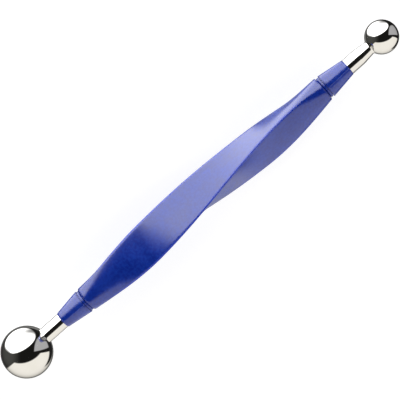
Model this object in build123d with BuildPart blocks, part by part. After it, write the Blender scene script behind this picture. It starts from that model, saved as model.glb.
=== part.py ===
from build123d import *
from math import atan, cos, degrees, pi, radians, sin, sqrt, tan
from types import SimpleNamespace
import os

# Embossing stylus: a twisted three-sided plastic grip with a steel ball on a stem at each end.
# Millimetres. The tool lies along X with the small ball at +X, and rests with +Z up.
# The origin is on the tool's axis, halfway along its overall length.

# Balls
large_ball_radius = 8.5
small_ball_radius = 5.5

# Lengths along the axis, the first two from a ball's centre to the tip of its collar
large_ball_to_collar = 15.7
small_ball_to_collar = 14.2
collar_length = 9.1
groove_width = 1.1
grip_length = 101.0

# Grip: round ends that swell into a twisted triangle
grip_end_radius = 4.3
grip_corner_reach = 7.55
grip_edge_radius = 0.3
grip_end_chamfer = 0.3
middle_corner_degrees = 102.0
half_twist_degrees = 46.5
sections_per_half = 9

# Shares of half the grip's length, counted from its end, over which its section changes
swell_share = 0.58
edge_sharpening_share = 0.23

# How far a side stands out between its corners: 0.5 is flat, more is crowned
end_side_crown_share = 0.72
middle_side_crown_share = 0.503

# How much of the twist is taken from the ends and given to the middle
twist_ease_share = 0.58

# At the very end each corner arc has this share of the round end's radius, so it stays an arc of its own
end_corner_share = 0.99

# Collars: a tapered nose, a groove and a hollow spigot that snaps into the grip
collar_tip_radius = 2.85
collar_back_radius = 4.15
collar_tip_rounding = 0.3
collar_back_rounding = 0.2
groove_floor_radius = 3.8
spigot_radius = 3.0
spigot_length = 10.0
spigot_chamfer = 0.4
snap_ring_height = 0.15
snap_ring_width = 1.2
snap_ring_setback = 4.0
socket_lead_in = 0.3

# Stems: a shoulder against the collar's tip, and a thinner shank behind it
large_stem_radius = 2.65
small_stem_radius = 2.75
small_stem_waist_radius = 2.25
small_stem_cone_length = 4.0
shank_radius = 1.9
shank_in_grip = 14.0
shank_chamfer = 0.4
holding_groove_depth = 0.3
holding_groove_width = 1.0
holding_groove_pitch = 2.5
holding_groove_count = 4

# Joints between stems and balls: a small flared foot on a flat, and a spigot in a drilled hole
foot_flare = 0.22
foot_length = 0.5
ball_spigot_radius = 1.5
ball_spigot_chamfer = 0.3
large_ball_spigot_length = 5.0
small_ball_spigot_length = 3.0
drill_half_point_degrees = 59.0

# Fits
shank_clearance = 0.03
spigot_clearance = 0.03
ball_spigot_clearance = 0.02
blind_end_clearance = 0.2

# Places along X, worked out from the lengths
ball_centre_distance = (
    large_ball_to_collar + small_ball_to_collar + grip_length + 2 * (collar_length + groove_width)
)
overall_length = large_ball_radius + ball_centre_distance + small_ball_radius
small_ball_x = overall_length / 2 - small_ball_radius
large_ball_x = small_ball_x - ball_centre_distance
small_tip_x = small_ball_x - small_ball_to_collar
large_tip_x = large_ball_x + large_ball_to_collar
small_face_x = small_tip_x - collar_length - groove_width
large_face_x = large_tip_x + collar_length + groove_width
grip_middle_x = (small_face_x + large_face_x) / 2

# Holes, each from the piece that goes into it
socket_radius = spigot_radius + spigot_clearance
socket_depth = spigot_length + blind_end_clearance
shank_bore_radius = shank_radius + shank_clearance
shank_bore_depth = spigot_length + shank_in_grip + blind_end_clearance
ball_hole_radius = ball_spigot_radius + ball_spigot_clearance

# What differs between the two ends. Outward is the way along X that leads out of the tool.
small_end = SimpleNamespace(
    name="small",
    outward=1,
    ball_x=small_ball_x,
    tip_x=small_tip_x,
    face_x=small_face_x,
    ball_radius=small_ball_radius,
    ball_to_collar=small_ball_to_collar,
    stem_radius=small_stem_radius,
    waist_radius=small_stem_waist_radius,
    cone_length=small_stem_cone_length,
    spigot_length=small_ball_spigot_length,
)
large_end = SimpleNamespace(
    name="large",
    outward=-1,
    ball_x=large_ball_x,
    tip_x=large_tip_x,
    face_x=large_face_x,
    ball_radius=large_ball_radius,
    ball_to_collar=large_ball_to_collar,
    stem_radius=large_stem_radius,
    waist_radius=large_stem_radius,
    cone_length=0,
    spigot_length=large_ball_spigot_length,
)
ends = (small_end, large_end)

# Each ball is flat where its stem's foot stands on it
for end in ends:
    end.foot_radius = end.waist_radius + foot_flare
    end.flat_distance = sqrt(end.ball_radius**2 - end.foot_radius**2)
    end.stem_reach = end.ball_to_collar - end.flat_distance

os.makedirs("parts", exist_ok=True)


def half_profile_plane(x, outward):
    """A plane along the tool, at x, for profiles to revolve: its own X leads out of the tool, its Y is up."""
    return Plane(origin=(x, 0, 0), x_dir=(outward, 0, 0), z_dir=(0, -outward, 0))


def polar(radius, angle):
    """A point of a cross-section, by its distance from the axis and its angle in degrees."""
    return Vector(radius, 0).rotate(Axis.Z, angle)


def drill_point_length(radius):
    """How far the cone at the bottom of a drilled hole goes beyond its straight wall."""
    return radius / tan(radians(drill_half_point_degrees))


def draw_grip_outline(place):
    """The grip's cross-section at a place from -1, its large end, to 1, its small end.

    Three corner arcs and three crowned side arcs, each tangent to the next.
    """
    from_end = 1 - abs(place)
    swelling = pi / 2 * min(1, from_end / swell_share)
    sharpening = pi / 2 * min(1, from_end / edge_sharpening_share)
    end_corner_radius = grip_end_radius * end_corner_share
    reach = grip_end_radius + (grip_corner_reach - grip_end_radius) * sin(swelling)
    corner_radius = grip_edge_radius + (end_corner_radius - grip_edge_radius) * (1 - sin(sharpening))
    crown_gain = end_side_crown_share - middle_side_crown_share
    crown = middle_side_crown_share + crown_gain * cos(swelling) ** 2
    side_height = corner_radius + crown * (reach - corner_radius)
    half_arc = 60 - 2 * degrees(atan((crown - 0.5) / sin(radians(60))))
    eased_place = place * (1 + twist_ease_share * (1 - abs(place)))
    first_corner = middle_corner_degrees - half_twist_degrees * eased_place
    for turn in (0, 120, 240):
        angle = first_corner + turn
        centre = polar(reach - corner_radius, angle)
        next_centre = polar(reach - corner_radius, angle + 120)
        corner_start = centre + polar(corner_radius, angle - half_arc)
        corner_end = centre + polar(corner_radius, angle + half_arc)
        next_start = next_centre + polar(corner_radius, angle + 120 - half_arc)
        ThreePointArc(corner_start, polar(reach, angle), corner_end)
        ThreePointArc(corner_end, polar(side_height, angle + 60), next_start)


def draw_socket():
    """Half the profile of the stepped blind socket in each end of the grip, from its mouth inwards."""
    groove_mouth = snap_ring_setback - spigot_clearance
    groove_end = snap_ring_setback + snap_ring_width + spigot_clearance
    groove_radius = socket_radius + snap_ring_height
    Polyline(
        (0, 0),
        (0, socket_radius + socket_lead_in),
        (-socket_lead_in, socket_radius),
        (-groove_mouth, socket_radius),
        (-groove_mouth - snap_ring_height, groove_radius),
        (-groove_end + snap_ring_height, groove_radius),
        (-groove_end, socket_radius),
        (-socket_depth, socket_radius),
        (-socket_depth, shank_bore_radius),
        (-shank_bore_depth, shank_bore_radius),
        (-shank_bore_depth - drill_point_length(shank_bore_radius), 0),
        close=True,
    )


def draw_collar():
    """Half the profile of a collar: tapered nose, groove floor, and the spigot with its snap ring."""
    back = -collar_length
    flange = back - groove_width
    ring = flange - snap_ring_setback
    ring_radius = spigot_radius + snap_ring_height
    spigot_end = flange - spigot_length
    Polyline(
        (0, shank_bore_radius),
        (0, collar_tip_radius),
        (back, collar_back_radius),
        (back, groove_floor_radius),
        (flange, groove_floor_radius),
        (flange, spigot_radius),
        (ring, spigot_radius),
        (ring - snap_ring_height, ring_radius),
        (ring - snap_ring_width + snap_ring_height, ring_radius),
        (ring - snap_ring_width, spigot_radius),
        (spigot_end + spigot_chamfer, spigot_radius),
        (spigot_end, spigot_radius - spigot_chamfer),
        (spigot_end, shank_bore_radius),
        close=True,
    )


def shank_points():
    """The outline of a stem's shank with its holding grooves, from its buried end up to the shoulder at 0."""
    buried_end = -(collar_length + groove_width + spigot_length + shank_in_grip)
    groove_floor = shank_radius - holding_groove_depth
    points = [
        (buried_end, 0),
        (buried_end, shank_radius - shank_chamfer),
        (buried_end + shank_chamfer, shank_radius),
    ]
    for groove in range(holding_groove_count):
        groove_start = buried_end + holding_groove_pitch * (groove + 1)
        groove_stop = groove_start + holding_groove_width
        points += [
            (groove_start, shank_radius),
            (groove_start + holding_groove_depth, groove_floor),
            (groove_stop - holding_groove_depth, groove_floor),
            (groove_stop, shank_radius),
        ]
    return points + [(0, shank_radius)]


def draw_stem(end):
    """Half the profile of a stem: shank, shoulder, cylinder, cone if it has one, flared foot, ball spigot."""
    foot_start = (end.stem_reach - foot_length, end.waist_radius)
    foot_edge = (end.stem_reach, end.foot_radius)
    spigot_end = end.stem_reach + end.spigot_length
    body = [(0, end.stem_radius), foot_start]
    if end.cone_length > 0:
        body.insert(1, (foot_start[0] - end.cone_length, end.stem_radius))
    shank = shank_points()
    Polyline(*shank, *body)
    TangentArc(foot_start, foot_edge, tangent=(1, 0))
    Polyline(
        foot_edge,
        (end.stem_reach, ball_spigot_radius),
        (spigot_end - ball_spigot_chamfer, ball_spigot_radius),
        (spigot_end, ball_spigot_radius - ball_spigot_chamfer),
        (spigot_end, 0),
        shank[0],
    )


def draw_ball(end):
    """Half the profile of a ball with the flat for its stem's foot and the drilled hole for its spigot."""
    flat = -end.flat_distance
    hole_end = flat + end.spigot_length + blind_end_clearance
    ThreePointArc((end.ball_radius, 0), (0, end.ball_radius), (flat, end.foot_radius))
    Polyline(
        (flat, end.foot_radius),
        (flat, ball_hole_radius),
        (hole_end, ball_hole_radius),
        (hole_end + drill_point_length(ball_hole_radius), 0),
        (end.ball_radius, 0),
    )


# Twisted grip: one moulding, lofted through sections that crowd towards its ends, with a socket in each end
with BuildPart() as twisted_grip:
    for step in range(-sections_per_half, sections_per_half + 1):
        place = sin(pi / 2 * step / sections_per_half)
        with BuildSketch(Plane.YZ.offset(grip_middle_x + place * grip_length / 2)):
            with BuildLine():
                draw_grip_outline(place)
            make_face()
    loft()
    chamfer(twisted_grip.faces().filter_by(Axis.X).edges(), grip_end_chamfer)
    for end in ends:
        with BuildSketch(half_profile_plane(end.face_x, end.outward)):
            with BuildLine():
                draw_socket()
            make_face()
        revolve(axis=Axis.X, mode=Mode.SUBTRACT)
twisted_grip.part.label = "twisted_grip"
export_step(twisted_grip.part, "parts/twisted_grip.step")

for end in ends:

    # Collar: moulded plastic, its nose rounded at the tip and at the groove
    with BuildPart() as collar:
        with BuildSketch(half_profile_plane(end.tip_x, end.outward)) as collar_profile:
            with BuildLine():
                draw_collar()
            make_face()
            corners = collar_profile.vertices()
            fillet(corners.sort_by_distance((0, collar_tip_radius))[0], collar_tip_rounding)
            corners = collar_profile.vertices()
            fillet(corners.sort_by_distance((-collar_length, collar_back_radius))[0], collar_back_rounding)
        revolve(axis=Axis.X)
    collar.part.label = f"{end.name}_end_collar"
    export_step(collar.part, f"parts/{end.name}_end_collar.step")

    # Stem: turned steel, seated on the collar's tip
    with BuildPart() as stem:
        with BuildSketch(half_profile_plane(end.tip_x, end.outward)):
            with BuildLine():
                draw_stem(end)
            make_face()
        revolve(axis=Axis.X)
    stem.part.label = f"{end.name}_end_stem"
    export_step(stem.part, f"parts/{end.name}_end_stem.step")

    # Ball: solid polished steel on the stem's foot
    with BuildPart() as ball:
        with BuildSketch(half_profile_plane(end.ball_x, end.outward)):
            with BuildLine():
                draw_ball(end)
            make_face()
        revolve(axis=Axis.X)
    ball.part.label = f"{end.name}_ball"
    export_step(ball.part, f"parts/{end.name}_ball.step")
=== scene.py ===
# %% [markdown]
# # An embossing stylus: steel balls on a twisted grip
#
# The tool is a twisted three-sided plastic grip with a tapered collar, a polished stem and a steel ball
# at each end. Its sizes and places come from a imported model, which is loaded first and never moved.
# Here each piece gets the smooth surfaces and the finish that the real one has.

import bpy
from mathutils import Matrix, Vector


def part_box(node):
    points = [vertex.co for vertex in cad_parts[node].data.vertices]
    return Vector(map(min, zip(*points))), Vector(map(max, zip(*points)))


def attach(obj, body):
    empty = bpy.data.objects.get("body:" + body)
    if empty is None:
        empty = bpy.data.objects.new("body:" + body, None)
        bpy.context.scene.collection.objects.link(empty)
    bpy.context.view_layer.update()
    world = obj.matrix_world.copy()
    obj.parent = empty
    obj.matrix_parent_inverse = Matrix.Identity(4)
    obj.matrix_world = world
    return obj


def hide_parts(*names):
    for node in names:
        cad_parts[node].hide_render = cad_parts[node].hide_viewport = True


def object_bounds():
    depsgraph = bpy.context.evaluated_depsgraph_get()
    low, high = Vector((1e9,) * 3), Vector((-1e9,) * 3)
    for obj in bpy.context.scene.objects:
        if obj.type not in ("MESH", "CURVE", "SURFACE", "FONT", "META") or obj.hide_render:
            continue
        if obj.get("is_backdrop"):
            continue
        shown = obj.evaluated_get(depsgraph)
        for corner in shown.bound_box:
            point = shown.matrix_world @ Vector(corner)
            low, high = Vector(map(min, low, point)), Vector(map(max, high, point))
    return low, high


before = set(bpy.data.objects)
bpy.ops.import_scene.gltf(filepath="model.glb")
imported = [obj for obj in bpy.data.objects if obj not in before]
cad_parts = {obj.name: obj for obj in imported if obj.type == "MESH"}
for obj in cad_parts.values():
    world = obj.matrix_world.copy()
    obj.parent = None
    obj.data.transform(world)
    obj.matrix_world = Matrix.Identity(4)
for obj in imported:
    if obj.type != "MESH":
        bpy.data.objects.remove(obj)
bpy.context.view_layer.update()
print("nodes:", sorted(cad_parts))

# %% [markdown]
# ## Where everything is
#
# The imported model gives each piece's place along the tool, so nothing has to be fitted by eye. Its two
# ends are alike apart from their sizes, so each end's measures go into one small record and every piece
# is made by the same steps for both. Lengths are written in millimetres and turned into metres by mm.

# %% Places and sizes of the two ends
from bisect import bisect
from math import asin, atan, cos, degrees, pi, radians, sin, sqrt, tan
from types import SimpleNamespace
import bmesh
import bpy
from mathutils import Matrix, Vector

mm = 0.001
tool_axis = Vector((1, 0, 0))


def measure_end(name, outward, **sizes):
    """One end of the tool: outward is the way along X that leads out of it."""
    ball_low, ball_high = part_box(f"{name}_ball")
    collar_low, collar_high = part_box(f"{name}_end_collar")
    grip_low, grip_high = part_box("twisted_grip")
    end = SimpleNamespace(name=name, outward=outward, **sizes)
    end.ball_radius = (ball_high.z - ball_low.z) / 2 / mm
    ball_tip = ball_high.x if outward > 0 else ball_low.x
    end.ball_x = ball_tip / mm - outward * end.ball_radius
    end.tip_x = (collar_high.x if outward > 0 else collar_low.x) / mm
    end.face_x = (grip_high.x if outward > 0 else grip_low.x) / mm
    print(name, "end: ball radius", round(end.ball_radius, 3), "at x", round(end.ball_x, 3))
    return end


small_end = measure_end(
    "small", 1, stem_radius=2.75, waist_radius=2.25, cone_length=4.0, ball_spigot_length=3.0
)
large_end = measure_end(
    "large", -1, stem_radius=2.65, waist_radius=2.65, cone_length=0.0, ball_spigot_length=5.0
)
ends = (small_end, large_end)

# %% [markdown]
# ## Turned pieces
#
# Balls, stems and collars are all round about the tool's axis, and the real ones are turned on a lathe
# or moulded in a turned mould. The lathe's way works here too: half the outline is drawn as a chain of
# vertices above the axis, straight runs by extrusion and roundings by a small spin, and the chain is
# then spun once round the axis. That keeps every rounding a true arc, so polished steel reflects well.

# %% A half outline that is drawn and then spun
smooth_angle = radians(28)
merge_distance = 0.0008 * mm
turned_steps = 128


def finish_mesh(piece):
    """Merges what a spin left double, turns every face outwards and smooths all but the sharp edges."""
    bpy.ops.object.mode_set(mode="EDIT")
    bpy.ops.mesh.select_all(action="SELECT")
    bpy.ops.mesh.remove_doubles(threshold=merge_distance)
    bpy.ops.mesh.normals_make_consistent(inside=False)
    bpy.ops.mesh.select_all(action="DESELECT")
    bpy.ops.object.mode_set(mode="OBJECT")
    bpy.ops.object.shade_smooth_by_angle(angle=smooth_angle)
    print(piece.name, "has", len(piece.data.polygons), "faces")


def start_from_one_vertex(name, place):
    """A plane merged into a single vertex at a place in millimetres, left in edit mode."""
    bpy.ops.object.select_all(action="DESELECT")
    bpy.ops.mesh.primitive_plane_add(size=mm)
    piece = bpy.context.object
    piece.name = name
    bpy.ops.object.mode_set(mode="EDIT")
    bpy.ops.mesh.merge(type="CENTER")
    bpy.ops.transform.translate(value=Vector(place) * mm)
    return piece


class HalfOutline:
    """Half the outline of a turned piece, in millimetres: how far out along the tool, and the radius."""

    def __init__(self, name, x, outward, reach, radius):
        self.x, self.outward = x, outward
        self.at = Vector((reach, radius))
        self.piece = start_from_one_vertex(name, self.place(reach, radius))

    def place(self, reach, radius):
        """A point of the outline as a place in the tool."""
        return (self.x + self.outward * reach, 0, radius)

    def line(self, reach, radius):
        """A straight run to a point."""
        step = Vector(self.place(reach, radius)) - Vector(self.place(*self.at))
        bpy.ops.mesh.extrude_region_move(TRANSFORM_OT_translate={"value": step * mm})
        self.at = Vector((reach, radius))

    def lines(self, *points):
        """Straight runs through several points."""
        for reach, radius in points:
            self.line(reach, radius)

    def arc(self, centre, turn, steps):
        """A rounding about a centre, through a turn in radians, positive from outward to up."""
        centre = Vector(centre)
        bpy.ops.mesh.spin(
            steps=steps,
            angle=turn,
            center=Vector(self.place(*centre)) * mm,
            axis=(0, self.outward, 0),
        )
        offset = self.at - centre
        self.at = centre + Matrix.Rotation(turn, 2) @ offset

    def rounded_corner(self, corner, after, radius, steps=5):
        """A straight run that turns at a corner towards the point after it, with the corner rounded."""
        corner, after = Vector(corner), Vector(after)
        back = (self.at - corner).normalized()
        onward = (after - corner).normalized()
        half = back.angle(onward) / 2
        centre = corner + (back + onward).normalized() * radius / sin(half)
        side = 1 if back.cross(onward) < 0 else -1
        self.line(*(corner + back * radius / tan(half)))
        self.arc(centre, side * (pi - 2 * half), steps)

    def revolve(self, steps, closed=True):
        """Spins the outline once round the tool's axis. An open outline is left unfinished."""
        bpy.ops.mesh.select_all(action="SELECT")
        bpy.ops.mesh.spin(steps=steps, angle=2 * pi, center=(0, 0, 0), axis=tool_axis)
        if closed:
            finish_mesh(self.piece)
        return self.piece


def settle(piece, node):
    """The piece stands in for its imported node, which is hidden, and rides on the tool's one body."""
    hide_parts(node)
    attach(piece, "root")


# %% [markdown]
# ## Balls
#
# Each ball is a bearing ball of solid steel, with a small flat and a drilled hole where its stem goes in.
# A primitive sphere has no flat and no hole, so the ball is turned like the rest. It gets many narrow
# steps, because a mirror finish shows every facet.

# %% The two balls
ball_spigot_radius = 1.5
ball_hole_radius = 1.52
blind_end_gap = 0.2
drill_half_point = radians(59)
foot_flare = 0.22
ball_arc_steps = 96
ball_turned_steps = 160


def turn_ball(end):
    """A ball from its far pole round to the flat, and down its drilled hole."""
    end.foot_radius = end.waist_radius + foot_flare
    end.flat_distance = sqrt(end.ball_radius**2 - end.foot_radius**2)
    flat = -end.flat_distance
    hole_end = flat + end.ball_spigot_length + blind_end_gap
    drill_tip = hole_end + ball_hole_radius / tan(drill_half_point)
    pole_to_flat = pi - asin(end.foot_radius / end.ball_radius)
    outline = HalfOutline(f"{end.name}_ball_polished", end.ball_x, end.outward, end.ball_radius, 0)
    outline.arc((0, 0), pole_to_flat, ball_arc_steps)
    outline.lines((flat, ball_hole_radius), (hole_end, ball_hole_radius), (drill_tip, 0))
    return outline.revolve(ball_turned_steps)


balls = [turn_ball(end) for end in ends]
for end, ball in zip(ends, balls):
    settle(ball, f"{end.name}_ball")

# %% [markdown]
# ## Stems
#
# A stem is turned from bar: a straight shank with holding grooves that the plastic grips, a shoulder on
# the collar's tip, the part that shows, and a small flared foot against the ball with a spigot into it.
# The small end necks down in a cone first. The flare and the cone's first corner are the roundings that
# show, so both are arcs.

# %% The two stems
collar_length = 9.1
groove_width = 1.1
spigot_length = 10.0
shank_in_grip = 14.0
shank_radius = 1.9
shank_chamfer = 0.4
holding_grooves = 4
holding_groove = SimpleNamespace(depth=0.3, width=1.0, pitch=2.5)
cone_rounding = 0.5
foot_length = 0.5
flare_steps = 8
ball_spigot_chamfer = 0.3


def turn_stem(end):
    """A stem from its buried end, along the shank and the neck, to its spigot in the ball."""
    stem_reach = abs(end.ball_x - end.tip_x) - end.flat_distance
    buried = -(collar_length + groove_width + spigot_length + shank_in_grip)
    outline = HalfOutline(f"{end.name}_end_stem_turned", end.tip_x, end.outward, buried, 0)
    outline.lines((buried, shank_radius - shank_chamfer), (buried + shank_chamfer, shank_radius))
    for groove in range(holding_grooves):
        start = buried + holding_groove.pitch * (groove + 1)
        stop = start + holding_groove.width
        floor = shank_radius - holding_groove.depth
        outline.lines((start, shank_radius), (start + holding_groove.depth, floor))
        outline.lines((stop - holding_groove.depth, floor), (stop, shank_radius))
    outline.lines((0, shank_radius), (0, end.stem_radius))
    foot_start = stem_reach - foot_length
    waist = (foot_start, end.waist_radius)
    if end.cone_length > 0:
        cone_start = (foot_start - end.cone_length, end.stem_radius)
        outline.rounded_corner(cone_start, waist, cone_rounding, steps=4)
    outline.line(*waist)
    flare_turn = 2 * atan(foot_flare / foot_length)
    flare_radius = foot_length / sin(flare_turn)
    outline.arc((foot_start, end.waist_radius + flare_radius), flare_turn, flare_steps)
    spigot_end = stem_reach + end.ball_spigot_length
    outline.lines(
        (stem_reach, ball_spigot_radius),
        (spigot_end - ball_spigot_chamfer, ball_spigot_radius),
        (spigot_end, ball_spigot_radius - ball_spigot_chamfer),
        (spigot_end, 0),
    )
    return outline.revolve(turned_steps)


stems = [turn_stem(end) for end in ends]
for end, stem in zip(ends, stems):
    settle(stem, f"{end.name}_end_stem")

# %% [markdown]
# ## Collars
#
# A collar is a small plastic moulding: a tapered nose with soft edges, a groove, and behind it a hollow
# spigot with a snap ring that clicks into the grip. A thin slot on each side of the groove's floor gives
# the dark lines where the mouldings part. Only the nose and the groove show, but the rest is made too, so
# that the piece can be taken out of the assembly as a whole.

# %% The two collars
collar_tip_radius = 2.85
collar_back_radius = 4.15
nose_rounding = 0.3
lip_rounding = 0.2
groove_floor_radius = 3.8
slot_floor_radius = 3.4
slot_width = 0.2
spigot_radius = 3.0
spigot_chamfer = 0.4
shank_bore_radius = 1.93
snap_ring = SimpleNamespace(height=0.15, width=1.2, setback=4.0)


def turn_collar(end):
    """A collar's outline all the way round: nose, groove floor, spigot, end and bore."""
    back = -collar_length
    flange = back - groove_width
    ring = flange - snap_ring.setback
    ring_radius = spigot_radius + snap_ring.height
    spigot_end = flange - spigot_length
    outline = HalfOutline(
        f"{end.name}_end_collar_moulded", end.tip_x, end.outward, 0, shank_bore_radius
    )
    lip = (back, collar_back_radius)
    outline.rounded_corner((0, collar_tip_radius), lip, nose_rounding)
    outline.rounded_corner(lip, (back, groove_floor_radius), lip_rounding)
    outline.lines(
        (back, slot_floor_radius),
        (back - slot_width, slot_floor_radius),
        (back - slot_width, groove_floor_radius),
        (flange + slot_width, groove_floor_radius),
        (flange + slot_width, slot_floor_radius),
        (flange, slot_floor_radius),
        (flange, spigot_radius),
        (ring, spigot_radius),
        (ring - snap_ring.height, ring_radius),
        (ring - snap_ring.width + snap_ring.height, ring_radius),
        (ring - snap_ring.width, spigot_radius),
        (spigot_end + spigot_chamfer, spigot_radius),
        (spigot_end, spigot_radius - spigot_chamfer),
        (spigot_end, shank_bore_radius),
        (0, shank_bore_radius),
    )
    return outline.revolve(turned_steps)


collars = [turn_collar(end) for end in ends]
for end, collar in zip(ends, collars):
    settle(collar, f"{end.name}_end_collar")

# %% [markdown]
# ## Grip
#
# The grip is round at its ends and a twisted triangle in the middle, with crisp corners and nearly flat
# sides. Twisting a prism would leave its ends triangular, so it is built from cross-sections instead.
# Each section is three corner arcs and three side arcs, spun one after the other, and the sections are
# then bridged. One rule gives the size, corner radius and turn of the section at any place.

# %% The rule for a cross-section
grip_end_radius = 4.3
grip_corner_reach = 7.55
grip_edge_radius = 0.3
end_corner_radius = 0.99 * grip_end_radius
swell_share = 0.58
edge_sharpening_share = 0.23
end_crown = 0.72
middle_crown = 0.503
middle_corner_degrees = 102.0
half_twist_degrees = 46.5
twist_ease = 0.58


def section_rule(place):
    """Corner reach, radius, half angle and direction at a place, from -1 (large end) to 1 (small end)."""
    from_end = 1 - abs(place)
    swelling = pi / 2 * min(1, from_end / swell_share)
    sharpening = pi / 2 * min(1, from_end / edge_sharpening_share)
    reach = grip_end_radius + (grip_corner_reach - grip_end_radius) * sin(swelling)
    corner = grip_edge_radius + (end_corner_radius - grip_edge_radius) * (1 - sin(sharpening))
    crown = middle_crown + (end_crown - middle_crown) * cos(swelling) ** 2
    half_arc = 60 - 2 * degrees(atan((crown - 0.5) / sin(radians(60))))
    eased_place = place * (1 + twist_ease * (1 - abs(place)))
    return reach, corner, half_arc, middle_corner_degrees - half_twist_degrees * eased_place


for place in (-1, -0.5, 0, 0.5, 1):
    print("section at", place, "is", [round(value, 2) for value in section_rule(place)])

# %% [markdown]
# A section is drawn like a bead of wire round the axis: the corner arcs turn about a point near each
# corner, the side arcs about a point far behind each side. Both are tangent where they meet. Near the
# grip's end faces the same section is drawn a little smaller, which rounds the edge of the face.

# %% The sections
corner_steps = 10
side_steps = 22
section_steps = 3 * (corner_steps + side_steps)
section_merge_distance = 0.005 * mm
grip_low_x = large_end.face_x
grip_high_x = small_end.face_x
grip_middle = (grip_low_x + grip_high_x) / 2
grip_half = (grip_high_x - grip_low_x) / 2


def round_the_axis(x, radius, angle):
    """A place in the tool from its distance along the axis, its radius and its angle in degrees."""
    return Vector((x, radius * cos(radians(angle)), radius * sin(radians(angle))))


def draw_section(x, inset):
    """One closed cross-section at x, drawn smaller by the inset, as an object of its own."""
    reach, corner, half_arc, first_corner = section_rule((x - grip_middle) / grip_half)
    side_half = 60 - half_arc
    centre_distance = reach - corner
    side_centre_distance = centre_distance * sin(radians(half_arc)) / sin(radians(side_half))
    centre = round_the_axis(x, centre_distance, first_corner)
    start = centre + round_the_axis(0, corner - inset, first_corner - half_arc)
    section = start_from_one_vertex("section", start)
    for turn in (0, 120, 240):
        corner_centre = round_the_axis(x, centre_distance, first_corner + turn)
        side_centre = round_the_axis(x, side_centre_distance, first_corner + turn + 240)
        for about, half, steps in (
            (corner_centre, half_arc, corner_steps),
            (side_centre, side_half, side_steps),
        ):
            bpy.ops.mesh.spin(
                steps=steps, angle=-2 * radians(half), center=about * mm, axis=tool_axis
            )
    bpy.ops.mesh.select_all(action="SELECT")
    bpy.ops.mesh.remove_doubles(threshold=section_merge_distance)
    bpy.ops.object.mode_set(mode="OBJECT")
    return section


face_rounding = 0.3
rounding_steps = 5
sections_between = 132
bends = [pi / 2 * step / rounding_steps for step in range(rounding_steps)]
rounding = [(face_rounding * (1 - cos(bend)), face_rounding * (1 - sin(bend))) for bend in bends]
first_x = grip_low_x + face_rounding
spacing = 2 * (grip_half - face_rounding) / sections_between
stations = [(grip_low_x + depth, inset) for depth, inset in rounding]
stations += [(first_x + spacing * step, 0) for step in range(sections_between + 1)]
stations += [(grip_high_x - depth, inset) for depth, inset in reversed(rounding)]
sections = [draw_section(x, inset) for x, inset in stations]
print(len(sections), "sections, in the middle", round(spacing, 3), "mm apart")

# %% [markdown]
# The sections are joined into one mesh and each ring is bridged to the next. Only two rings are bridged
# at a time, so that the bridge tool never has to choose which rings are neighbours.

# %% The skin between the sections
bpy.ops.object.select_all(action="DESELECT")
for section in sections:
    section.select_set(True)
grip = sections[0]
bpy.context.view_layer.objects.active = grip
bpy.ops.object.join()
grip.name = "twisted_grip_moulded"
bpy.ops.object.mode_set(mode="EDIT")
bpy.ops.mesh.select_mode(type="EDGE")
rings = [[] for section in sections]
places = [x for x, inset in stations]
middles = [(x + next_x) / 2 for x, next_x in zip(places, places[1:])]
for edge in bmesh.from_edit_mesh(grip.data).edges:
    rings[bisect(middles, edge.verts[0].co.x / mm)].append(edge)
for ring, next_ring in zip(rings, rings[1:]):
    bpy.ops.mesh.select_all(action="DESELECT")
    for edge in ring + next_ring:
        edge.select_set(True)
    bpy.ops.mesh.bridge_edge_loops()
bpy.ops.mesh.select_mode(type="VERT")
bpy.ops.object.mode_set(mode="OBJECT")
print(len(rings), "rings of", {len(ring) for ring in rings}, "edges bridged")

# %% [markdown]
# Each end of the grip has a stepped hole: a wide part for the collar's spigot, with a ring groove that
# its snap ring clicks into, and a narrow part for the stem's shank. The hole is drawn as an outline and
# spun like a turned piece, with as many steps as a section has vertices, and then bridged to the skin.
#
# Known fault: at the large end the bridge tool pairs the two rings in reverse. Its faces cross over the
# hole's mouth, in the plane of the end face, and the hole's wall is inside out. The small end is right.

# %% The two sockets
spigot_gap = 0.03
socket_radius = spigot_radius + spigot_gap
socket_depth = spigot_length + blind_end_gap
socket_lead_in = 0.3
level_tolerance = 0.001


def draw_socket(end):
    """The wall of one socket, from its mouth inwards, as an object of its own."""
    groove_mouth = -(snap_ring.setback - spigot_gap)
    groove_end = -(snap_ring.setback + snap_ring.width + spigot_gap)
    groove_radius = socket_radius + snap_ring.height
    bore_end = -(spigot_length + shank_in_grip + blind_end_gap)
    outline = HalfOutline(
        f"{end.name}_socket", end.face_x, end.outward, 0, socket_radius + socket_lead_in
    )
    outline.lines(
        (-socket_lead_in, socket_radius),
        (groove_mouth, socket_radius),
        (groove_mouth - snap_ring.height, groove_radius),
        (groove_end + snap_ring.height, groove_radius),
        (groove_end, socket_radius),
        (-socket_depth, socket_radius),
        (-socket_depth, shank_bore_radius),
        (bore_end, shank_bore_radius),
        (bore_end - shank_bore_radius / tan(drill_half_point), 0),
    )
    socket = outline.revolve(section_steps, closed=False)
    bpy.ops.mesh.remove_doubles(threshold=merge_distance)
    bpy.ops.object.mode_set(mode="OBJECT")
    return socket


def select_open_edges_at(piece, x):
    """Selects the edges with only one face that lie at a place along the tool."""
    bpy.ops.mesh.select_mode(type="EDGE")
    bpy.ops.mesh.select_all(action="DESELECT")
    mesh = bmesh.from_edit_mesh(piece.data)
    for edge in mesh.edges:
        level = all(abs(vertex.co.x / mm - x) < level_tolerance for vertex in edge.verts)
        edge.select_set(edge.is_boundary and level)
    bmesh.update_edit_mesh(piece.data)


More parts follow.
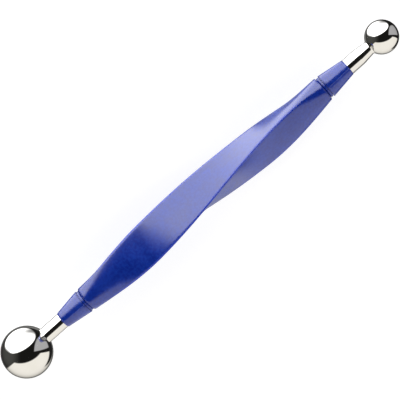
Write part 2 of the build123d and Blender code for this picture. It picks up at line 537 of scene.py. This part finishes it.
sockets = [draw_socket(end) for end in ends]
bpy.ops.object.select_all(action="DESELECT")
for piece in (*sockets, grip):
    piece.select_set(True)
bpy.context.view_layer.objects.active = grip
bpy.ops.object.join()
bpy.ops.object.mode_set(mode="EDIT")
for end in ends:
    select_open_edges_at(grip, end.face_x)
    bpy.ops.mesh.bridge_edge_loops()
bpy.ops.mesh.select_mode(type="VERT")
bpy.ops.object.mode_set(mode="OBJECT")
finish_mesh(grip)
settle(grip, "twisted_grip")

# %% [markdown]
# ## Shader maths
#
# Finishes are sums and products of a few patterns. Written as Math nodes one by one they are hard to
# read, so a small class lets them be written as expressions: each operator adds the node it stands for.

# %% A link that can be reckoned with
class Pattern:
    """A link in a material's nodes. Sums and products of patterns add Math nodes."""

    def __init__(self, tree, socket=None):
        self.tree, self.socket = tree, socket

    def node(self, kind, settings=None, inputs=None, output=0):
        """Any other node: its settings come first, then the values or links of its sockets."""
        made = self.tree.nodes.new(kind)
        for name, value in (settings or {}).items():
            setattr(made, name, value)
        for name, value in (inputs or {}).items():
            if isinstance(value, Pattern):
                self.tree.links.new(value.socket, made.inputs[name])
            else:
                made.inputs[name].default_value = value
        return Pattern(self.tree, made.outputs[output])

    def maths(self, operation, *others):
        """A Math node on this and the others."""
        values = dict(enumerate((self, *others)))
        return self.node("ShaderNodeMath", {"operation": operation}, values)

    def __add__(self, other):
        return self.maths("ADD", other)

    def __sub__(self, other):
        return self.maths("SUBTRACT", other)

    def __rsub__(self, other):
        return -1 * self + other

    def __mul__(self, other):
        return self.maths("MULTIPLY", other)

    __radd__ = __add__
    __rmul__ = __mul__

    def between(self, low, high):
        """0 below low, 1 above high, and smooth from one to the other."""
        settings = {"interpolation_type": "SMOOTHSTEP"}
        inputs = {"Value": self, "From Min": low, "From Max": high}
        return self.node("ShaderNodeMapRange", settings, inputs)

    def colour(self, low, high):
        """A colour that goes from low to high as this goes from 0 to 1. Each is a colour or a pattern."""
        low, high = (end if isinstance(end, Pattern) else (*end, 1) for end in (low, high))
        return self.node("ShaderNodeMix", {"data_type": "RGBA"}, {0: self, 6: low, 7: high}, output=2)


def new_finish(name, **constants):
    """A material with its plain shader's constants set, the place on the piece, and the shader itself."""
    material = bpy.data.materials.new(name)
    material.use_nodes = True
    tree = material.node_tree
    shader = tree.nodes["Principled BSDF"]
    for socket, value in constants.items():
        shader.inputs[socket.replace("_", " ")].default_value = value
    place = Pattern(tree).node("ShaderNodeTexCoord", output="Object")
    return material, place, shader


def noise(place, size, detail):
    """Irregular noise whose features are about a size in millimetres."""
    inputs = {"Vector": place, "Scale": 1 / (size * mm), "Detail": detail}
    return place.node("ShaderNodeTexNoise", None, inputs)


def bump(height, depth, **inputs):
    """A bump from a height pattern, in which a height of 1 stands for a depth in millimetres."""
    inputs = {"Height": height, "Distance": depth * mm, "Strength": 1.0, **inputs}
    return height.node("ShaderNodeBump", None, inputs)


def connect(pattern, shader, socket):
    """Feeds a pattern into a socket of the shader."""
    pattern.tree.links.new(pattern.socket, shader.inputs[socket])


# %% [markdown]
# ## Blue plastic
#
# The grip and collars are moulded in a deep ultramarine with a satin skin. Moulded skin isn't even: it
# is a little duller in patches, and its colour is faintly mottled. Two sizes of noise do that. Along the
# crisp corners a line of lighter, purer blue is painted into the colour: a painted highlight that stands
# in for light that the thin corners let through. The Bevel node finds the corners: near one, its softened
# direction differs from the surface's own. The round ends of the grip get no such line.

# %% The moulded blue plastic
deep_blue = (0.001, 0.018, 0.26)
light_blue = (0.004, 0.040, 0.40)
# The colour of the painted highlight along the crisp corners.
corner_highlight_blue = (0.003, 0.05, 0.75)
corner_softening = 1.2
corner_likeness = 0.93
side_likeness = 0.995
twist_ends = 6 * mm
round_starts = 2 * mm
plastic, place, shader = new_finish("blue_moulded_plastic", IOR=1.75)
patches = noise(place, 7.0, 2.0).between(0.3, 0.7)
grain = noise(place, 0.9, 1.0).between(0.25, 0.75)
shade = patches * 0.4 + grain * 0.6
moulded = shade.colour(deep_blue, light_blue)
softened = place.node("ShaderNodeBevel", {"samples": 8}, {"Radius": corner_softening * mm})
surface = place.node("ShaderNodeNewGeometry", output="Normal")
likeness = softened.node(
    "ShaderNodeVectorMath", {"operation": "DOT_PRODUCT"}, {0: softened, 1: surface}, output="Value"
)
along = place.node("ShaderNodeSeparateXYZ", None, {"Vector": place}, output="X")
from_middle = (along - grip_middle * mm).maths("ABSOLUTE")
twisted = 1 - from_middle.between(grip_half * mm - twist_ends, grip_half * mm - round_starts)
# The painted highlight: along the crisp corners a lighter blue is mixed into the base colour.
corner_highlight = (1 - likeness.between(corner_likeness, side_likeness)) * twisted
connect(corner_highlight.colour(moulded, corner_highlight_blue), shader, "Base Color")
connect(0.20 + 0.07 * patches, shader, "Roughness")
print("plastic has", len(plastic.node_tree.nodes), "nodes so far")

# %% [markdown]
# The collars' mould opens along the tool, and leaves a hair-thin raised line on top and underneath. A
# ridge this fine belongs in the bump pattern: it is one where the place is beside the mould's plane.
# The bump starts from the softened direction, so each corner catches the light like a wider rounding
# while its shape and size stay as they are.

# %% The parting line and the softened corners
seam_half_width = 0.09 * mm
seam_top_half_width = 0.02 * mm
seam_height = 0.03
side = place.node("ShaderNodeSeparateXYZ", None, {"Vector": place}, output="Y").maths("ABSOLUTE")
beyond_grip = from_middle.between(grip_half * mm, (grip_half + 0.5) * mm)
seam = (1 - side.between(seam_top_half_width, seam_half_width)) * beyond_grip
print("parting line", round(2 * seam_half_width / mm, 2), "mm wide beyond x", round(grip_high_x, 2))
connect(bump(patches * 0.3 + seam, seam_height, Normal=softened), shader, "Normal")

# %% [markdown]
# ## Polished steel
#
# The balls are lapped to a mirror and the stems are turned and then polished, which leaves very fine
# rings. Steel is a little warm, and handling leaves faint smears that are slightly less sharp. Seen
# nearly edge-on it reflects less than it does head-on, which draws the thin dark line round each ball.

# %% Ball steel and stem steel
neutral_steel = (0.86, 0.85, 0.83)
warm_steel = (0.84, 0.83, 0.80)
bar_steel = (0.84, 0.83, 0.81)
edge_tint = (0.15, 0.15, 0.15, 1)
rings_per_metre = 9000.0
ring_depth = 0.0006
ball_steel, place, shader = new_finish("mirror_ball_steel", Metallic=1.0, Specular_Tint=edge_tint)
smears = noise(place, 4.0, 3.0).between(0.45, 0.75)
connect(smears.colour(neutral_steel, warm_steel), shader, "Base Color")
connect(smears * 0.03 + 0.035, shader, "Roughness")

stem_steel, place, shader = new_finish("turned_stem_steel", Metallic=1.0, Specular_Tint=edge_tint)
along = place.node("ShaderNodeSeparateXYZ", None, {"Vector": place})
ring_noise = {"W": along, "Scale": rings_per_metre, "Detail": 2.0}
turned = along.node("ShaderNodeTexNoise", {"noise_dimensions": "1D"}, ring_noise)
connect(turned.colour(bar_steel, neutral_steel), shader, "Base Color")
connect(turned * 0.04 + 0.05, shader, "Roughness")
connect(bump(turned, ring_depth), shader, "Normal")

for piece in (grip, *collars):
    piece.data.materials.append(plastic)
for piece in balls:
    piece.data.materials.append(ball_steel)
for piece in stems:
    piece.data.materials.append(stem_steel)
for piece in (grip, *collars, *balls, *stems):
    print(piece.name, "is", piece.data.materials[0].name)

# %% [markdown]
# ## Camera
#
# The photograph looks down on the tool from almost straight above, turned a little about the tool and
# leaning a little towards the small ball. The camera's three directions are worked out from those
# angles, and its distance and lens give the same gentle perspective.

# %% The camera
roll = radians(13)
lean = radians(4)
turn = radians(41.613)
back = Vector((sin(lean), cos(lean) * sin(roll), cos(lean) * cos(roll)))
tool_in_view = (tool_axis - back * tool_axis.dot(back)).normalized()
across_in_view = back.cross(tool_in_view)
right = cos(turn) * tool_in_view - sin(turn) * across_in_view
up = sin(turn) * tool_in_view + cos(turn) * across_in_view
aim_along = 0.198
aim_across = -0.408
camera_distance = 445.69
aim = aim_along * tool_axis + aim_across * across_in_view
camera_place = (aim + camera_distance * back) * mm
camera_data = bpy.data.cameras.new("photo_camera")
camera_data.lens = 126.0
camera_data.sensor_width = 36.0
camera_data.clip_start = 0.01
camera_data.clip_end = 20.0
camera = bpy.data.objects.new("photo_camera", camera_data)
bpy.context.collection.objects.link(camera)
camera_turn = Matrix((right, up, back)).transposed().to_4x4()
camera.matrix_world = Matrix.Translation(camera_place) @ camera_turn
bpy.context.scene.camera = camera
print("camera", [round(value, 4) for value in camera_place])

# %% [markdown]
# ## Floor
#
# The tool lies on a plain white floor and touches it with both balls, so the floor slopes by about a
# degree. Seen by the camera it glows white like the background, but a share of it is ordinary paint,
# which keeps the tool's soft shadow. A plain white floor would fill the lower half of every mirror image,
# where the photograph shows a card and a dark room, so shiny surfaces see the studio's pattern instead.
# The floor blocks no light, because the big lamp and the card both reach below its level.

# %% The floor
floor_radius = 3.0
near_glow = 0.82
paint = (0.85, 0.85, 0.85)
paint_in_view = (0.33, 0.33, 0.33)
radius_step = large_end.ball_radius - small_end.ball_radius
floor_slope = asin(radius_step / (small_end.ball_x - large_end.ball_x))
bpy.ops.object.select_all(action="DESELECT")
bpy.ops.mesh.primitive_circle_add(vertices=96, radius=floor_radius, fill_type="NGON")
floor = bpy.context.object
floor.name = "floor"
under_large_ball = Vector((large_end.ball_x, 0, -large_end.ball_radius)) * mm
floor.matrix_world = Matrix.Translation(under_large_ball) @ Matrix.Rotation(-floor_slope, 4, "Y")
floor.visible_glossy = False
floor.visible_shadow = False
floor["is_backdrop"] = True

floor_finish, place, shader = new_finish("white_floor", Roughness=0.9, Emission_Strength=1.0)
is_camera = place.node("ShaderNodeLightPath", output="Is Camera Ray")
distance = place.node("ShaderNodeVectorMath", {"operation": "LENGTH"}, {0: place}, output="Value")
glow = is_camera * (near_glow + (1 - near_glow) * distance.between(0.2, 1.0))
connect(is_camera.colour(paint, paint_in_view), shader, "Base Color")
connect(glow.colour((0, 0, 0), (1, 1, 1)), shader, "Emission Color")
floor.data.materials.append(floor_finish)
print("floor slopes by", round(degrees(floor_slope), 2), "degrees")

# %% [markdown]
# ## Light
#
# A big round soft lamp stands at the upper left, and a cream card at the lower right gives some of its
# light back. Both are plain round area lamps that only light the tool and throw its soft shadow. They
# are placed by two angles, as seen in the picture: how far off the camera, and which way round.

# %% The soft lamp and the cream card
def studio_direction(off_camera, around):
    """A direction by its angle off the way to the camera, and its angle round from image right."""
    sideways = cos(radians(around)) * right + sin(radians(around)) * up
    return cos(radians(off_camera)) * back + sin(radians(off_camera)) * sideways


lamp_direction = studio_direction(77, 120)
lamp_half_angle = 59
card_direction = studio_direction(85, -60)


def add_soft_lamp(name, direction, distance, radius, watts, colour):
    """A round soft lamp that faces the tool. Steel reflects the studio's picture of it, not the lamp."""
    lamp_data = bpy.data.lights.new(name, "AREA")
    lamp_data.shape = "DISK"
    lamp_data.size = 2 * radius
    lamp_data.energy = watts
    lamp_data.color = colour
    lamp = bpy.data.objects.new(name, lamp_data)
    bpy.context.collection.objects.link(lamp)
    towards_tool = direction.to_track_quat("Z", "Y").to_matrix().to_4x4()
    lamp.matrix_world = Matrix.Translation(direction * distance) @ towards_tool
    lamp.visible_camera = False
    lamp.visible_glossy = False
    print(name, "radius", round(radius, 2), "m, at", [round(value, 2) for value in lamp.location])


lamp_distance = 0.8
lamp_radius = lamp_distance * tan(radians(lamp_half_angle))
lamp_watts = 22.0
card_distance = 0.5
card_radius = 0.5
card_watts = 3.0
add_soft_lamp("soft_lamp", lamp_direction, lamp_distance, lamp_radius, lamp_watts, (1, 1, 1))
add_soft_lamp("cream_card", card_direction, card_distance, card_radius, card_watts, (1, 0.97, 0.92))

# %% [markdown]
# ## What the steel reflects
#
# Polished steel is all reflection, so what stands round the tool matters more than how bright it is.
# The two balls show it like small mirrors: the lamp's white disc, the cream card, a grey wall at the
# right with a black flag beside it, and a dark room. They are drawn into the world as a pattern of
# directions. A dot product tells how far a direction points towards a fixed one. Limits near zero give
# straight edges, and limits from two angles give a disc with a soft rim.

# %% How far a direction points towards another
world = bpy.data.worlds.new("studio")
bpy.context.scene.world = world
world.use_nodes = True
studio = Pattern(world.node_tree)
direction = studio.node("ShaderNodeTexCoord", output="Generated")


def facing(towards):
    """How far the direction looked in points towards a direction: 1 straight at it, 0 across it."""
    inputs = {0: direction, 1: tuple(towards)}
    return direction.node("ShaderNodeVectorMath", {"operation": "DOT_PRODUCT"}, inputs, output="Value")


def disc(towards, inside, outside):
    """1 up to an inside angle off a direction, 0 beyond an outside angle, both in degrees."""
    return facing(towards).between(cos(radians(outside)), cos(radians(inside)))


print("world has", len(world.node_tree.nodes), "nodes before the studio is drawn")

# %% [markdown]
# Each part of the studio is a patch that is one inside and zero outside. The card and the wall have
# straight edges, the backdrop behind the tool is round, and the flag is part of a ring. They are laid
# over the dark room in turn, so the flag stands in front of the wall.

# %% The card, the wall, the backdrop and the flag
card_top = (-0.25 * right + 0.74 * up + 0.64 * back).normalized()
card_left = studio_direction(90, 130)
wall_foot = (up - 0.12 * right).normalized()
backdrop = disc(-back, 28, 48)
wall_side = facing(right).between(0.58, 0.66) * disc(back, 120, 130)
grey_wall = facing(wall_foot).between(0.02, 0.07) * wall_side
card_face = facing(-card_top).between(-0.05, 0.06) * facing(-up).between(0.0, 0.05)
card_sides = facing(-card_left).between(-0.03, 0.03) * disc(back, 140, 158)
card = card_face * card_sides
flag_face = facing(studio_direction(90, 15)).between(0.35, 0.5)
flag_ring = disc(-back, 56, 64) * (1 - disc(-back, 14, 26))
black_flag = flag_face * flag_ring
room = facing(-right).between(0.3, 1.0)
seen = room.colour((0.010, 0.010, 0.009), (0.07, 0.07, 0.065))
for patch, colour in (
    (backdrop, (0.48, 0.48, 0.47)),
    (grey_wall, (0.46, 0.46, 0.47)),
    (card, (1.0, 0.97, 0.90)),
    (black_flag, (0.02, 0.02, 0.02)),
):
    seen = patch.colour(seen, colour)
print("studio without its lamp has", len(world.node_tree.nodes), "nodes")

# %% [markdown]
# The lamp is by far the brightest. On the large ball's side its disc is cut off by a soft straight edge,
# as the balls in the photograph show. Below the floor's level its picture fades towards both ends of the
# tool and leaves a strip across it. So the grip's broad side stays light, as in the photograph, and balls
# that are seen from the side keep a visible edge against the white background.

# %% The lamp's picture
lamp_brightness = (3.3, 3.3, 3.3)
faded_lamp = (0.3, 0.3, 0.3)
lamp_round = disc(lamp_direction, lamp_half_angle - 4, lamp_half_angle + 3)
lamp_disc = lamp_round * facing(tool_axis).between(-0.75, -0.55)
beside_strip = (facing(tool_axis) + 0.05).maths("ABSOLUTE").between(0.2, 0.75)
below_floor = 1 - facing((0, 0, 1)).between(-0.6, 0.15)
lamp_light = (beside_strip * below_floor).colour(lamp_brightness, faded_lamp)
seen = lamp_disc.colour(seen, lamp_light)
print("lamp's picture reaches", lamp_half_angle, "degrees from its middle")

# %% [markdown]
# The camera sees a plain white background, and so would anything seen through clear material. Shiny
# surfaces see the studio. All other light that comes from the world is a dim even fill, too even to need
# sampling like a lamp, so that is off.

# %% Which rays see what
fill = (0.28, 0.28, 0.28)
is_camera = studio.node("ShaderNodeLightPath", output="Is Camera Ray")
is_glossy = studio.node("ShaderNodeLightPath", output="Is Glossy Ray")
is_transmission = studio.node("ShaderNodeLightPath", output="Is Transmission Ray")
sees_white = is_camera.maths("MAXIMUM", is_transmission)
light = is_glossy.colour(fill, seen)
light = sees_white.colour(light, (1, 1, 1))
connect(light, world.node_tree.nodes["Background"], "Color")
world.cycles.sampling_method = "NONE"
bpy.context.scene.view_settings.view_transform = "Standard"
print("studio has", len(world.node_tree.nodes), "nodes")

# %% [markdown]
# ## Sizes
#
# The visual pieces must be as large as the imported ones. The box round the visual pieces is printed.

# %% Write the sizes and finish
visual_box = [list(corner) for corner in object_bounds()]
for low, high in zip(*visual_box):
    print("visual box from", round(low / mm, 3), "to", round(high / mm, 3), "mm")
